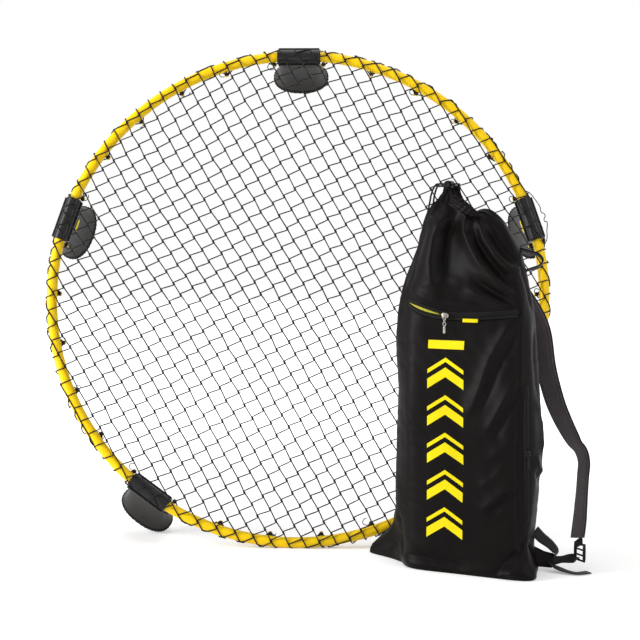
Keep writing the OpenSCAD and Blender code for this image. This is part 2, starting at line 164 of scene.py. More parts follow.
class Build:
    """Collects the vertices and faces of one piece."""

    def __init__(self):
        self.verts, self.faces, self.count = [], [], 0

    def grid(self, rows, closed=True, caps=(False, False)):
        """Joins rows of points as quads; closed joins each row's end to its start, caps close the ends."""
        rows = np.asarray(rows, float)
        n, m = rows.shape[:2]
        faces = []
        for i in range(n - 1):
            for j in range(m if closed else m - 1):
                k = (j + 1) % m
                faces.append((i * m + j, i * m + k, (i + 1) * m + k, (i + 1) * m + j))
        if caps[0]:
            faces.append(tuple(range(m - 1, -1, -1)))
        if caps[1]:
            faces.append(tuple((n - 1) * m + j for j in range(m)))
        self.verts.append(rows.reshape(-1, 3))
        self.faces.extend(tuple(i + self.count for i in face) for face in faces)
        self.count += n * m

    def tube(self, points, radius, sides=6):
        """Round bar along points; radius is one number or one for each point."""
        p = np.asarray(points, float)
        ahead = unit(np.gradient(p, axis=0))
        side = np.zeros_like(p)
        side[0] = unit(np.cross(ahead[0], (0.13, 0.9, 0.31)))
        for i in range(1, len(p)):
            side[i] = unit(side[i - 1] - ahead[i] * np.dot(side[i - 1], ahead[i]))
        up = np.cross(ahead, side)
        angle = around(sides)
        r = np.broadcast_to(np.asarray(radius, float), (len(p),))
        rows = p[:, None] + r[:, None, None] * (np.cos(angle)[None, :, None] * side[:, None]
                                                + np.sin(angle)[None, :, None] * up[:, None])
        self.grid(rows, caps=(True, True))

    def blob(self, centre, axes, sides=8, rings=6):
        """Small ellipsoid with three half axes."""
        rows = []
        for tilt in math.pi * np.arange(1, rings) / rings:
            rows.append([centre - axes[2] * math.cos(tilt)
                         + math.sin(tilt) * (axes[0] * math.cos(w) + axes[1] * math.sin(w))
                         for w in around(sides)])
        self.grid(rows, caps=(True, True))

    def band(self, points, side, width, thick, edge=0.35, columns=7):
        """Flat strip along points; edge says how round its long edges are."""
        p = np.asarray(points, float)
        ahead = unit(np.gradient(p, axis=0))
        side = unit(side - ahead * np.sum(side * ahead, axis=1, keepdims=True))
        face = np.cross(ahead, side)
        w = np.broadcast_to(np.asarray(width, float), (len(p),)) / 2
        top = []
        for x in np.linspace(-1, 1, columns):
            height = (1 - abs(x) ** 8) * (1 - edge) + edge * math.sqrt(max(0.0, 1 - abs(x) ** 4))
            top.append((x, height if abs(x) < 1 else 0.0))
        loop = top + [(x, -height) for x, height in reversed(top[1:-1])]
        rows = [[p[i] + side[i] * w[i] * x + face[i] * thick / 2 * height for x, height in loop]
                for i in range(len(p))]
        self.grid(rows, caps=(True, True))

    def make(self, name, slot, body, *nodes, finish=None):
        """Makes the piece, which rides on a body and stands for the CAD nodes that are named."""
        mesh = bpy.data.meshes.new(name)
        mesh.from_pydata((np.vstack(self.verts) * MM).tolist(), [], self.faces)
        mesh.validate()
        mesh.update()
        mesh.polygons.foreach_set("use_smooth", [True] * len(mesh.polygons))
        mesh.materials.append(FINISH[finish or slot])
        obj = add(name, mesh)
        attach(obj, body)
        if nodes:
            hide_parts(*nodes)
        return obj


def loft(rows, name, slot, body, *nodes, closed=True, caps=(True, True)):
    """A piece that is one grid of rows; with **OPEN it is a sheet with four free edges."""
    b = Build()
    b.grid(rows, closed, caps)
    return b.make(name, slot, body, *nodes)


OPEN = {"closed": False, "caps": (False, False)}


# ---- materials
FINISH = {}


def material(name, base, rough, metal=0.0, coat=0.0, sheen=0.0, spec=0.5):
    mat = bpy.data.materials.new(name)
    mat.use_nodes = True
    shader = mat.node_tree.nodes["Principled BSDF"]
    for key, value in (("Base Color", (*base, 1)), ("Roughness", rough), ("Metallic", metal),
                       ("Coat Weight", coat), ("Coat Roughness", 0.15), ("Sheen Weight", sheen),
                       ("Sheen Roughness", 0.4), ("Specular IOR Level", spec)):
        shader.inputs[key].default_value = value
    FINISH[name] = mat
    return mat.node_tree, shader


def link(tree, source, out, target, into):
    tree.links.new(source.outputs[out], target.inputs[into])


def combine(tree, operation, first, second):
    """Math node that takes two (node, output) pairs."""
    node = tree.nodes.new("ShaderNodeMath")
    node.operation = operation
    link(tree, *first, node, 0)
    link(tree, *second, node, 1)
    return node


def noise(tree, where, scale, detail=3.0):
    node = tree.nodes.new("ShaderNodeTexNoise")
    node.inputs["Scale"].default_value = scale
    node.inputs["Detail"].default_value = detail
    link(tree, where, "Object", node, "Vector")
    return node


def wave(tree, where, scale, direction):
    node = tree.nodes.new("ShaderNodeTexWave")
    node.bands_direction = direction
    node.inputs["Scale"].default_value = scale
    node.inputs["Distortion"].default_value = 0.0
    link(tree, where, "Object", node, "Vector")
    return node


def bump(tree, shader, height, out, strength, distance):
    node = tree.nodes.new("ShaderNodeBump")
    node.inputs["Strength"].default_value = strength
    node.inputs["Distance"].default_value = distance
    link(tree, height, out, node, "Height")
    link(tree, node, "Normal", shader, "Normal")


def tint(tree, shader, source, base, vary, start=0.35, end=0.65):
    """Base colour that runs from darker to lighter by the share vary as the source rises."""
    ramp = tree.nodes.new("ShaderNodeValToRGB")
    dark, light = ramp.color_ramp.elements
    dark.position, light.position = start, end
    dark.color = (*(c * (1 - vary) for c in base), 1)
    light.color = (*(min(1, c * (1 + vary)) for c in base), 1)
    link(tree, source, "Fac", ramp, "Fac")
    link(tree, ramp, "Color", shader, "Base Color")


def plastic(name, base, rough, coat=0.0, grain=400, depth=0.00004, vary=0.06, spec=0.5):
    """Moulded plastic or rubber: a fine grain and slow unevenness in colour."""
    tree, shader = material(name, base, rough, coat=coat, spec=spec)
    where = tree.nodes.new("ShaderNodeTexCoord")
    bump(tree, shader, noise(tree, where, grain), "Fac", 0.35, depth)
    tint(tree, shader, noise(tree, where, 9), base, vary)


def cloth(name, base, rough, pitch, sheen=0.3, depth=0.00012, spec=0.4):
    """Woven fabric: two crossed waves for the threads and slow unevenness in colour."""
    tree, shader = material(name, base, rough, sheen=sheen, spec=spec)
    where = tree.nodes.new("ShaderNodeTexCoord")
    threads = combine(tree, "ADD", (wave(tree, where, pitch, "DIAGONAL"), "Fac"),
                      (wave(tree, where, pitch * 1.1, "Z"), "Fac"))
    bump(tree, shader, threads, "Value", 0.5, depth)
    tint(tree, shader, noise(tree, where, 14, 5), base, 0.15, 0.3, 0.7)


def bare_metal(name, base, rough):
    tree, shader = material(name, base, rough, metal=1.0)
    where = tree.nodes.new("ShaderNodeTexCoord")
    bump(tree, shader, noise(tree, where, 600), "Fac", 0.2, 0.00003)


plastic("tube_yellow", (1.0, 0.64, 0.001), 0.34, coat=0.05, grain=260, depth=0.00002, vary=0.02, spec=0.2)
plastic("sleeve_black", (0.010, 0.010, 0.011), 0.33, grain=180, spec=0.22)
plastic("leg_grey", (0.0095, 0.0074, 0.0064), 0.48, grain=500, depth=0.00006, spec=0.15)
plastic("foot_rubber", (0.016, 0.0145, 0.0135), 0.6, grain=700, depth=0.00008, spec=0.16)
plastic("net_black", (0.010, 0.0095, 0.009), 0.55, grain=1500, depth=0.0001, vary=0.2, spec=0.15)
cloth("bag_nylon", (0.0042, 0.0031, 0.0029), 0.42, 420, sheen=0.0, depth=0.00005, spec=0.075)
# The lining is yellow; its colour is darkened and turned olive as painted shade, for the shade inside the
# gaping zip
cloth("lining_yellow", (0.56, 0.51, 0.03), 0.6, 420, sheen=0.2)
cloth("strap_grey", (0.130, 0.113, 0.117), 0.75, 260, sheen=0.15, depth=0.0002, spec=0.2)
cloth("webbing_black", (0.010, 0.0095, 0.010), 0.55, 500, sheen=0.04, depth=0.00025, spec=0.18)
cloth("zip_tape", (0.0065, 0.006, 0.006), 0.6, 600, sheen=0.0, spec=0.12)
plastic("tag_yellow", (0.90, 0.74, 0.004), 0.55, grain=600, spec=0.15)
cloth("cord_black", (0.009, 0.009, 0.0095), 0.55, 520, sheen=0.03, depth=0.0003, spec=0.15)
plastic("buckle_black", (0.009, 0.009, 0.0095), 0.36, grain=500, spec=0.13)
bare_metal("zip_metal", (0.30, 0.285, 0.26), 0.28)

for part in frame["record"]["subparts"]:
    node_mesh = frame["nodes"][part["node"]].data
    node_mesh.materials.clear()
    node_mesh.materials.append(FINISH[part["material_slot"]])


# ---- drawstring (the free cord)
DRAW = [(-26, 2, 637.5), (-22, -3, 638.5), (-21.5, -6.5, 640.8), (-24, -8, 641.8), (-56, -8, 641.8),
        (-62, -7, 640), (-67, -5, 634), (-71.5, -2, 624), (-75, 2, 613), (-79, 8, 603), (-83, 15, 594),
        (-81, 24, 585), (-77, 30, 579), (-72, 32.5, 577), (-71, 30, 583), (-74, 26, 592), (-75, 20, 602),
        (-72.5, 13, 612), (-68.5, 5, 621), (-63.5, -3, 630), (-60, -6.5, 636), (-56, -8, 638.2),
        (-24, -8, 638.2), (-21.5, -5.5, 636.3), (-22, 0, 634), (-26.5, 4, 633.5)]
route = spline([bag(*point) for point in DRAW], 4)
draw_len = float(run_along(route)[-1])
cord = Build()
cord.tube(route, 1.6, 10)
drawstring = cord.make("drawstring_cord", "cord_black", "bag", "drawstring")


# ---- net
CORD_R = 1.05
KNOT = 5.0
ON_TUBE = TUBE_R + CORD_R + 0.1
ON_SLEEVE = SLEEVE_R + CORD_R + 0.2
ANG_A, ANG_B = math.radians(-61), math.radians(32)
PITCH_A, PITCH_B = 24.7, 25.1
PHASE_A, PHASE_B = -0.25, 0.34
ACROSS = np.array([[-math.sin(angle), math.cos(angle)] for angle in (ANG_A, ANG_B)])
# The net is drawn out of true towards the rim at its upper left, upper right, top and bottom.
# Each pull is listed as x, y, reach, and shift across the strands
PULLS_A = [(-400, 200, 250, -25), (300, 300, 200, -15)]
PULLS_B = [(-50, 400, 180, 25), (-150, -400, 250, -15)]
STRANDS = range(-26, 27)
UNEVEN = 0.9
KNOT_RADII = [0.9, 1.9, 2.1, 1.9, 0.9]
SLACKS = [0, 0, 0.2, 0.4, 0.9, 1.8]    # how far a strand's turn round the tube stands off it
SLEEVE_ENDS = (5.3, 7.0)               # from a leg's middle, in degrees, where a sleeve gives way to tube
PAST_SLEEVE = 6.0


def pulled(q, pulls):
    return sum(shift * math.exp(-((q[0] - x) ** 2 + (q[1] - y) ** 2) / reach ** 2)
               for x, y, reach, shift in pulls)


def net_point(i, j):
    """Knot of strand i of the falling family and strand j of the rising one, in the ring's plane."""
    q = np.zeros(2)
    for _ in range(16):
        goal = np.array([(i + PHASE_A) * PITCH_A + pulled(q, PULLS_A),
                         (j + PHASE_B) * PITCH_B + pulled(q, PULLS_B)])
        q = np.linalg.solve(ACROSS, goal)
    return q + UNEVEN * np.array([math.sin(1.9 * i + 2.7 * j), math.sin(2.6 * i - 1.8 * j)])


def angle_to(degrees, start):
    """Shortest turn from start to an angle, in degrees."""
    return (degrees - start + 180) % 360 - 180


def nearest(degrees, places):
    return min(places, key=lambda place: abs(angle_to(place, degrees)))


def bearing(x, y):
    return math.degrees(math.atan2(y, x))


def near_sleeve(degrees):
    """0 away from the sleeves, 1 over them."""
    return 1 - float(smooth(min(abs(angle_to(degrees, leg)) for leg in LEG_AT), *SLEEVE_ENDS))


def front_height(x, y, lift=0.0):
    """Depth of a strand at a point of the ring's plane, minus in front, as it rests on tube and sleeve."""
    rho = math.hypot(x, y)
    on_tube = math.sqrt(max(0.0, ON_TUBE ** 2 - max(0.0, rho - RIM_R) ** 2))
    outside = rho - (RIM_R - SLEEVE_IN)
    if outside < 0:
        on_sleeve = ON_TUBE + (ON_SLEEVE - ON_TUBE) * float(smooth(rho, RIM_R - 34, RIM_R - 4))
    elif outside < 1:
        on_sleeve = ON_SLEEVE
    else:
        on_sleeve = math.sqrt(max(0.0, ON_SLEEVE ** 2 - outside ** 2))
    over = near_sleeve(bearing(x, y))
    return -((1 - over) * on_tube + over * on_sleeve) - lift


def edge_radius(degrees):
    """Radius at which a strand passes the outermost side of tube or sleeve."""
    over = near_sleeve(degrees)
    return RIM_R + (1 - over) * (TUBE_R + CORD_R) + over * (ON_SLEEVE - SLEEVE_IN)


def strand_end(before, last):
    """Carries a strand on from its last two points in front of the rim to the nearest hook behind it."""
    way = (last - before) / np.linalg.norm(last - before)
    at = bearing(*last)
    radial = np.array([math.cos(math.radians(at)), math.sin(math.radians(at))])
    slope = np.clip((way @ (-radial[1], radial[0])) / max(0.25, way @ radial), -1.6, 1.6)
    over = near_sleeve(at)
    slack = rng.choice(SLACKS) * (1 - 0.6 * over)
    r = TUBE_R + CORD_R
    if over > 0.3:
        # over the sleeve to its nearer end, and only there round the tube
        leg = nearest(at, LEG_AT)
        goal = leg + math.copysign(PAST_SLEEVE, angle_to(at, leg))
        hook = nearest(goal, HOOKS)
        out = []
        for share, depth in ((0.0, -4.5), (0.04, 1.0), (0.3, 5.0), (0.85, 5.0)):
            here = at + angle_to(goal, at) * share
            out.append((edge_radius(here) + 0.2 - 0.11 * abs(depth), here, depth))
        at = goal
        out.append((RIM_R + r + 0.2, at, 4.0))
    else:
        step = math.degrees(slope * 9 / RIM_R)
        hook = nearest(at + 2 * step, HOOKS)
        out = [(RIM_R + r * 0.97 + slack * 0.7, at + step * 0.5, -3.2), (RIM_R + r + slack, at + step, 1.0)]
        at = at + step
    turn = angle_to(hook, at)
    out += [(RIM_R + r * 0.72 + slack * 0.5, at + turn * 0.2, r * 0.74),
            (RIM_R + r * 0.1, at + turn * 0.45, r + 0.2),
            (RIM_R - r * 0.65, at + turn * 0.75, r * 0.8),
            (RIM_R - 13.5, at + turn * 0.96, 6.2)]
    return [ring_polar(*place) for place in out]


def lay_strand(build, chain, lift):
    """Lays a strand along points of the plane: its longest stretch inside the rim, and both its ends."""
    inside = [math.hypot(*q) < edge_radius(bearing(*q)) - 1.2 for q in chain]
    runs, start = [], None
    for k, held in enumerate(inside + [False]):
        if held and start is None:
            start = k
        elif not held and start is not None:
            runs.append((k - start, start, k))
            start = None
    if not runs or max(runs)[0] < 4:
        return
    points = chain[max(runs)[1]:max(runs)[2]]
    middle = []
    for x, y in points:
        raised = lift * (1 - float(smooth(math.hypot(x, y), RIM_R - 30, RIM_R - 8)))
        middle.append(ring(x, y, front_height(x, y, raised)))
    tail = strand_end(points[-2], points[-1])
    head = strand_end(points[1], points[0])[::-1]
    line = np.array(head + middle + tail)
    line[:, 2] = np.maximum(line[:, 2], CORD_R * 1.2)
    build.tube(line, CORD_R * 1.12)


def between(start, end, shares):
    return [start + (end - start) * share for share in shares]


places = {(i, j): net_point(i, j) for i in STRANDS for j in STRANDS}
# direction of the falling strand at each knot that has a neighbour on both sides
falling = {}
for i, j in places:
    if (i, j - 1) in places and (i, j + 1) in places:
        falling[i, j] = unit(places[i, j - 1] - places[i, j + 1])
inner = STRANDS[1:-1]
net_down, net_up, knots = Build(), Build(), Build()
for i in STRANDS:
    chain = []
    for j in reversed(inner):
        q, half = places[i, j], falling[i, j] * KNOT / 2
        chain += [q - half, q + half]
        if j != inner[0]:
            chain += between(q, places[i, j - 1], (0.35, 0.65))
    lay_strand(net_down, chain, 0.0)
for j in inner:
    chain = []
    for i in STRANDS:
        q, half = places[i, j], falling[i, j] * KNOT / 2
        chain += [q + half, q - half]
        if i != STRANDS[-1]:
            chain += between(q - half, places[i + 1, j] + falling[i + 1, j] * KNOT / 2, (0.33, 0.67))
    lay_strand(net_up, chain, 1.0)
for key, way in falling.items():
    q = places[key]
    rho = math.hypot(*q)
    over_sleeve = rho > RIM_R - 28 and near_sleeve(bearing(*q)) > 0.3
    if rho < RIM_R + 4 and not over_sleeve:
        spots = [q + way * k for k in (-3.6, -2.2, 0.0, 2.2, 3.6)]
        knots.tube([ring(*spot, front_height(*spot, 0.6)) for spot in spots], KNOT_RADII, 7)
net_down.make("net_falling_strands", "net_black", "rim", "net_strands_down", "net_edge_cord")
net_up.make("net_rising_strands", "net_black", "rim", "net_strands_up")
knots.make("net_knots", "net_black", "rim")

# Ties: a wrapped lump on each peg and the curl of a cut end
PEG_IN = 14.5
TIE_R, END_R = 0.95, 0.8
ties = Build()
for hook in HOOKS:
    angle = math.radians(hook)
    radial = np.array([math.cos(angle), math.sin(angle)])
    tangent = np.array([-radial[1], radial[0]])
    for k in range(3):
        wrap = 3.0 + 0.25 * k
        centre = radial * (RIM_R - 11.2 - 1.6 * k)
        ties.tube([ring(*(centre + tangent * wrap * math.cos(w)), 4 + wrap * math.sin(w))
                   for w in np.linspace(0, 2 * math.pi, 11)], TIE_R)
    peg = radial * (RIM_R - PEG_IN)
    ties.blob(ring(*peg, 0.4), (2.4 * RING_X, 1.8 * RING_Z, 2.6 * RING_Y))
    flip = rng.choice([-1, 1])
    size = rng.uniform(4, 8)
    turns = rng.uniform(0.45, 0.85)
    start = rng.uniform(0, 6.28)
    curl = []
    for w in np.linspace(0, turns * 2 * math.pi, 14):
        x = size * (math.cos(start + flip * w) - math.cos(start))
        y = size * (math.sin(start + flip * w) - math.sin(start))
        curl.append(ring(*(peg + radial * x * 0.8 + tangent * y), 1.0 - 3.5 * math.sin(min(1.0, w) * 1.5)))
    ties.tube(curl, END_R)
# Loose end beside the right sleeve: how far outside the rim, degrees round it, and depth
LOOSE_END = [(10.4, 24.6, -2), (16, 23.4, -5), (20.5, 20.8, -8), (22, 19.6, -7), (20.5, 19.0, -8),
             (21, 18.4, -9), (24, 18.3, -7), (25.5, 17.6, -7), (21.5, 17.0, -8), (21, 16.4, -8),
             (25, 16.2, -7), (24, 15.4, -6), (21, 14.5, -6), (17, 12.5, -5), (10.4, 11.4, -2)]
ties.tube(spline([ring_polar(RIM_R + out, degrees, depth) for out, degrees, depth in LOOSE_END], 5), 0.85, 6)
ties.make("net_hook_ties", "net_black", "rim")


# ---- legs
# Outside and hollow of a leg: distance from the tube, half width, inner and outer face, squareness
LEG_ROWS = np.array([
    [24, 38, -10, 10, 6], [45, 38.5, -12, 12, 4.4], [72, 40.5, -16, 16, 3.6],
    [96, 44.5, -21.5, 21.5, 2.8], [114, 49, -27, 27, 2.4], [123, 51.3, -29.5, 29.5, 2.3]])
HOLLOW_ROWS = np.array([
    [48, 35, -8.5, 8.5, 3.6], [72, 37, -12.5, 12.5, 3.3], [96, 41, -18, 18, 3],
    [114, 45.5, -23.5, 23.5, 2.35], [123, 48, -26, 26, 2.25]])
# Rubber round the sole, from the leg's end: distance, half width and half depth
SOLE_ROWS = [(0, 51.8, 30.0), (1.2, 52.7, 31.0), (5.0, 52.9, 31.2), (7.6, 52.2, 30.5), (9.0, 50.4, 28.6),
             (9.0, 47.2, 25.6), (6.0, 46.2, 24.6), (0, 46.2, 24.6)]
SOLE = 9.0
SOLE_RIBS = 42
# Painted highlight on the inner face of legs 2 and 5, in the print's yellow: where it stands up the leg, its
# half length and half width
PILL_AT, PILL_HALF, PILL_WIDE = {2: 43.0, 5: 49.0}, 12.5, 4.6


def smooth_rows(rows, count):
    fine = spline(rows, 8)
    heights = np.linspace(rows[0, 0], rows[-1, 0], count)
    return np.column_stack([heights, *columns_at(heights, fine)])


def leg_section(row, count):
    """Rounded cross-section of a leg at one distance from the tube."""
    z, half_width, inner_face, outer_face, square = row
    w = around(count)
    x = (outer_face - inner_face) / 2 * signed_power(np.cos(w), 2 / square) + (outer_face + inner_face) / 2
    return np.column_stack([x, half_width * signed_power(np.sin(w), 2 / square), np.full(count, z)])


def leg_placer(i):
    """Places points of a leg: outwards, along the tube, and away from the ring."""
    angle, splay = math.radians(LEG_AT[i - 1]), math.radians(SPLAY[i - 1])
    radial = math.cos(angle) * RING_X + math.sin(angle) * RING_Y
    outwards = math.cos(splay) * radial - math.sin(splay) * RING_Z
    along = math.sin(angle) * RING_X - math.cos(angle) * RING_Y
    away = math.sin(splay) * radial + math.cos(splay) * RING_Z
    place = placer(RING_AT + (RIM_R - SLEEVE_IN) * radial, outwards, along, away)
    return lambda rows: place(*np.moveaxis(np.array(rows), -1, 0))


def leg_body(i, place, count=72):
    rows = [leg_section((24, 36.5, -8.6, 8.6, 6), count), leg_section((24.2, 37.6, -9.6, 9.6, 6), count)]
    rows += [leg_section(row, count) for row in smooth_rows(LEG_ROWS, 22)[1:]]
    rows += [leg_section(row, count) for row in smooth_rows(HOLLOW_ROWS, 12)[::-1]]
    loft(place(rows), "leg_foot_body_%d" % i, "leg_grey", "leg_%d" % i, "leg_foot_%d" % i)


def foot_painted_highlight(i, place):
    """Painted highlight: a yellow pill-shaped strip laid on the leg's inner face."""
    rows = []
    for y in PILL_HALF * np.linspace(-1, 1, 25):
        into_end = max(0.0, (abs(y) - (PILL_HALF - PILL_WIDE)) / PILL_WIDE)
        half = PILL_WIDE * math.sqrt(max(0.0, 1 - into_end ** 2))
        row = []
        for z in PILL_AT[i] + half * np.linspace(-1, 1, 5):
            half_width, inner_face, outer_face, square = columns_at(z, LEG_ROWS)
            reach = (outer_face - inner_face) / 2 * (1 - abs(y / half_width) ** square) ** (1 / square)
            row.append([(outer_face + inner_face) / 2 - reach - 0.35, y, z])
        rows.append(row)
    loft(place(rows), "foot_mark_%d" % i, "tag_yellow", "leg_%d" % i, **OPEN)


def foot_rubber(i, place, per_rib=4):
    """Ring round the sole with fine ribs on its outside."""
    count = SOLE_RIBS * per_rib
    ribs = 0.55 * (np.arange(count) % per_rib < per_rib / 2)
    rows = []
    for k, (z, half_width, half_depth) in enumerate(SOLE_ROWS):
        row = leg_section((LEG_LEN - SOLE + z, half_width, -half_depth, half_depth, 2.3), count)
        if 1 <= k <= 3:
            row = row + unit(row * (1, 1, 0)) * ribs[:, None]
        rows.append(row)
    loft(place(rows + rows[:1]), "foot_rim_rubber_%d" % i, "foot_rubber", "leg_%d" % i, "foot_rim_%d" % i,
         caps=(False, False))


for leg in range(1, 6):
    place_leg = leg_placer(leg)
    leg_body(leg, place_leg)
    # legs 2 and 5 carry the painted highlight
    if leg in PILL_AT:
        foot_painted_highlight(leg, place_leg)
    foot_rubber(leg, place_leg)


# ---- bag: one surface carries all its fabric
# z, left edge, right edge, half depth, squareness, pull of the back left and front right corners
BAG_ROWS = np.array([
    [2, -114, 112, 42, 4.5, 150, 28], [12, -117, 113, 45, 4.5, 142, 24], [26, -119, 110, 45.5, 4.3, 118, 12],
    [42, -121, 107, 46, 4.2, 86, 4], [60, -122, 107, 46.5, 4, 50, 0], [80, -123, 109, 47, 4, 18, 0],
    [110, -124, 112, 48, 3.8, 0, 0], [170, -125, 116, 49, 3.6, 0, 0], [235, -125, 116.5, 49, 3.6, 0, 0],
    [310, -124.5, 113.5, 48, 3.6, 0, 0], [395, -123.5, 107.5, 46, 3.6, 0, 0],
    [440, -121.5, 100, 44, 3.4, 0, 0], [475, -116, 93, 41, 3.2, 0, 0],
    [505, -107.5, 86.5, 37, 3, 0, 0], [535, -99, 78, 32, 2.8, 0, 0],
    [562, -90, 64, 27, 2.6, 0, 0], [582, -83, 51, 23, 2.5, 0, 0], [597, -76, 27, 19, 2.4, 0, 0],
    [607, -70, -6, 15, 2.2, 0, 0], [613, -66, -14, 12, 2.1, 0, 0], [619, -60, -20, 10, 2, 0, 0],
    [628, -53, -24, 9.5, 2, 0, 0], [639, -51, -25, 9, 2, 0, 0]])
ROWS_FINE = spline(BAG_ROWS, 10)
BAG_TOP = 639.0
FABRIC = 1.6

# Folds of the front: height (minus is a valley), width on either side, then the line it follows as (x, z)
FRONT_FOLDS = [
    (9, (30, 9), [(-33, 604), (-46, 580), (-55, 557), (-58, 517), (-55, 481), (-40, 440)]),
    (-5, (8, 14), [(-66, 590), (-84, 545), (-98, 505), (-112, 455)]),
    (-9, (10, 26), [(-20, 600), (-36, 560), (-40, 515), (-34, 470)]),
    (8, (14, 7), [(-12, 610), (-5, 589), (-7, 567), (6, 541), (22, 518), (47, 492), (70, 470), (92, 440)]),
    (-5, (5, 8), [(4, 582), (17, 547), (36, 520), (62, 492), (86, 464)]),
    (9, (12, 6), [(8, 592), (28, 555), (48, 528), (68, 508), (100, 495)]),
    (-7, (6, 12), [(26, 580), (46, 548), (66, 524), (94, 508)]),
    (-5, (6, 8), [(6, 488), (35, 473), (62, 458), (86, 440)]),
    (4, (10, 6), [(-6, 474), (40, 458), (80, 440)]),
    (4, (12, 8), [(48, 596), (64, 572), (78, 545), (88, 515)]),
    (3, 7, [(-104, 470), (-60, 452), (-10, 446), (40, 442)]),
    (3, 6, [(88, 500), (92, 439), (94, 407), (95, 342), (99, 250)]),
    (-2.5, 6, [(15, 421), (50, 424), (88, 430)]),
    (-2.5, 15, [(-90, 408), (-20, 396), (50, 402), (84, 420)]),
    (5, (13, 6), [(92, 436), (71, 403), (47, 357), (33, 315), (20, 282), (2, 255)]),
    (-4, (6, 10), [(94, 420), (80, 388), (58, 345), (43, 303), (28, 262)]),
    (4, (10, 6), [(98, 345), (76, 300), (56, 262), (36, 228)]),
    (-3.5, (6, 9), [(100, 330), (84, 290), (66, 252), (50, 220)]),
    (3.5, (12, 6), [(96, 165), (66, 136), (28, 101)]),
    (-3, (6, 9), [(96, 150), (70, 124), (40, 98)]),
    (2.6, (12, 7), [(98, 240), (70, 214), (40, 190)]),
    (1.6, 7, [(28, 146), (52, 162), (82, 196)]),
    (-1.6, 7, [(40, 84), (66, 90), (92, 110)]),
    (-4.5, 7, [(50, -4), (76, 26), (96, 43), (110, 80)]),
    (3.5, 11, [(74, 4), (98, 18), (114, 40)]),
    (-3.5, 6, [(-116, 24), (-59, 21), (-13, 15), (20, 4)]),
    (2.5, 12, [(-110, 42), (-50, 38), (10, 32), (60, 26)]),
    (-4.5, 6, [(-117, 92), (-116, 52), (-117, 12)]),
    (2, 22, [(-88, 380), (-92, 260), (-90, 120)]),
    (-2.2, 34, [(-10, 360), (-4, 240), (0, 120)]),
]
# Folds of the left side, as (y, z): the pulled out corner drags them down and back
LEFT_FOLDS = [
    (-6, 9, [(-30, 74), (0, 44), (24, 12)]), (5, 9, [(-14, 96), (14, 60), (34, 14)]),
    (-5, 8, [(6, 118), (24, 76), (38, 30)]), (-3, 10, [(-10, 560), (4, 500), (8, 440)]),
    (3, 10, [(-24, 540), (-22, 470), (-26, 400)]), (-2.5, 12, [(10, 380), (-6, 300), (8, 210)]),
]
# Folds of the right side, as (y, z)
RIGHT_FOLDS = [
    (-4, 8, [(-20, 60), (4, 34), (26, 10)]), (3.5, 9, [(-26, 200), (-4, 176), (20, 168)]),
    (-3.5, 7, [(-22, 182), (4, 158), (28, 150)]), (3, 9, [(-16, 300), (6, 250), (12, 190)]),
    (-3, 9, [(8, 420), (-4, 350), (6, 280)]), (-3, 8, [(-14, 520), (2, 470), (0, 430)]),
]
# Folds of the back, as (x, z): the yoke of the straps draws the fabric up
BACK_FOLDS = [
    (5, 11, [(-66, 552), (-84, 490), (-98, 410)]), (-4, 10, [(-50, 548), (-58, 480), (-60, 400)]),
    (4, 12, [(-24, 550), (-26, 470), (-22, 390)]), (-4, 10, [(6, 548), (20, 480), (34, 400)]),
    (5, 11, [(20, 552), (46, 490), (74, 415)]), (-3.5, 14, [(-96, 330), (-20, 300), (70, 336)]),
    (3, 12, [(-90, 190), (-10, 214), (84, 186)]), (-3, 12, [(-100, 120), (-20, 96), (80, 126)]),
    (-5, 9, [(-150, 30), (-110, 60), (-70, 110)]), (4, 9, [(-160, 14), (-110, 34), (-50, 60)]),
]
FOLD_GAIN = 1.45


def crease(p, q, height, width, line):
    """Ridge or valley along a line, fading out towards its ends; width may differ on its two sides."""
    line = np.asarray(line, float)
    before, after = np.broadcast_to(np.asarray(width, float), (2,))
    best = np.full(np.shape(p), 1e9)
    place = np.zeros(np.shape(p))
    side = np.zeros(np.shape(p))
    for k, d in enumerate(np.diff(line, axis=0)):
        u, v = p - line[k, 0], q - line[k, 1]
        t = np.clip((u * d[0] + v * d[1]) / (d @ d), 0, 1)
        gap = np.hypot(u - t * d[0], v - t * d[1])
        near = gap < best
        best = np.where(near, gap, best)
        place = np.where(near, (k + t) / (len(line) - 1), place)
        side = np.where(near, (d[0] * v - d[1] * u) / math.hypot(*d), side)
    fade = smooth(place, -0.02, 0.28) * (1 - smooth(place, 0.72, 1.02))
    w = before + (after - before) * smooth(side, -3, 3)
    return height * fade * np.exp(-(best / w) ** 1.5)


def folds(x, y, z, nx, ny):
    """How far the fabric stands off its smooth form, where that form faces (nx, ny)."""
    front, back = smooth(-ny, 0.2, 0.8), smooth(ny, 0.2, 0.8)
    left, right = smooth(-nx, 0.5, 0.95), smooth(nx, 0.5, 0.95)
    # slow unevenness and small wrinkles
    d = 1.3 * np.sin(z / 41 + 2.1 * nx + 0.6) + 0.8 * np.sin(x / 23 - z / 31) * np.sin(z / 57 + 1)
    d = d + 0.35 * np.sin(x / 7.1 + z / 5.3 + 2 * np.sin(z / 19)) * np.sin(z / 11 - x / 13)
    for weight, across, table in ((front, x, FRONT_FOLDS), (back, x, BACK_FOLDS),
                                  (left, y, LEFT_FOLDS), (right, y, RIGHT_FOLDS)):
        for height, width, line in table:
            d = d + FOLD_GAIN * weight * crease(across, z, height, width, line)
    # pleats of the gathered mouth, and the groove that the drawstring pulls
    turn = np.arctan2(ny, nx)
    pleat = smooth(z, 566, 606) * (1 - 0.45 * smooth(z, 612, 630))
    d = d + pleat * (1.5 * np.sin(15 * turn + 0.03 * z) + 0.9 * np.sin(26 * turn + 1.3)
                     + 0.5 * np.sin(41 * turn))
    return d - 2.2 * np.exp(-((z - 616) / 3.2) ** 2)


def bag_row(z):
    """Left edge, right edge, half depth, squareness and the two corner pulls at a height."""
    return columns_at(z, ROWS_FINE)


